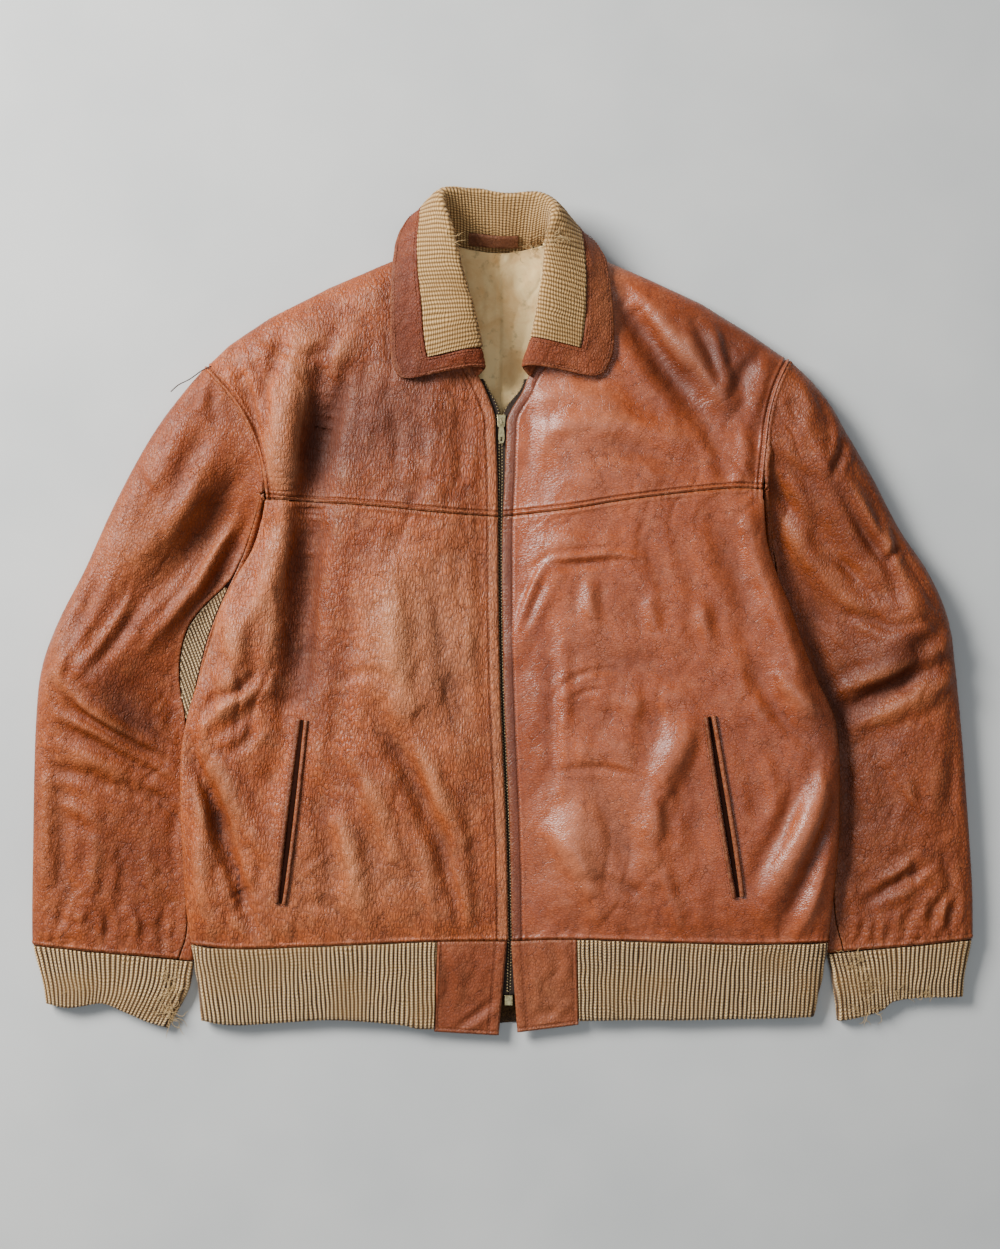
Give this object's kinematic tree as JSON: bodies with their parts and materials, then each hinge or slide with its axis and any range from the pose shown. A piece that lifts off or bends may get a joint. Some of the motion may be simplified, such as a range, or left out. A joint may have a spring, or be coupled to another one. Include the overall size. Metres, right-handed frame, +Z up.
{
  "type": "leather blouson jacket laid flat",
  "caption": "Worn tan leather blouson with ribbed knit collar, cuffs and waistband, half-length zip opening at the neck and slanting welt pockets, laid flat on its back.",
  "frame": {"origin": "centre of the jacket's footprint, on the surface that it lies on", "axes": "+X from the wearer's right to the wearer's left, which is the longest side; +Y from the hem to the collar; +Z up, away from the surface that the back lies on"},
  "size_m": [0.7992, 0.7174, 0.0539],
  "materials": {
    "tan_leather": "worn pebbled cowhide, semi-gloss, creased",
    "rib_knit": "ribbed wool knit, matt, frayed at the edges",
    "lining": "plain woven lining, slight sheen, soiled",
    "zip_tape": "dark woven tape, matt",
    "aged_brass": "tarnished, dull"
  },
  "bodies": {
    "jacket": {"back": "tan_leather", "front_right": "tan_leather", "front_left": "tan_leather", "yoke_right": "tan_leather", "yoke_left": "tan_leather", "sleeve_top_right": "tan_leather", "sleeve_top_left": "tan_leather", "sleeve_under_right": "tan_leather", "sleeve_under_left": "tan_leather", "gusset_right": "rib_knit", "gusset_left": "rib_knit", "cuff_right": "rib_knit", "cuff_left": "rib_knit", "waistband": "rib_knit", "waist_tab_right": "tan_leather", "waist_tab_left": "tan_leather", "collar_under": "tan_leather", "collar_border": "tan_leather", "collar_knit": "rib_knit", "hanger_loop": "tan_leather", "back_lining": "lining", "welt_inner_right": "tan_leather", "welt_outer_right": "tan_leather", "welt_inner_left": "tan_leather", "welt_outer_left": "tan_leather", "pocket_facing_right": "zip_tape", "pocket_facing_left": "zip_tape", "zip_tape_right": "zip_tape", "zip_tape_left": "zip_tape", "zip_slider": "aged_brass", "zip_box": "aged_brass"},
    "pull": {"zip_pull": "aged_brass"}
  },
  "joints": [
    {"name": "pull_hinge", "type": "hinge", "parent": "jacket", "child": "pull", "pos_m": [-0.0009, 0.162, 0.02094], "axis": [-1, 0, 0], "range_deg": [0, 160]}
  ]
}
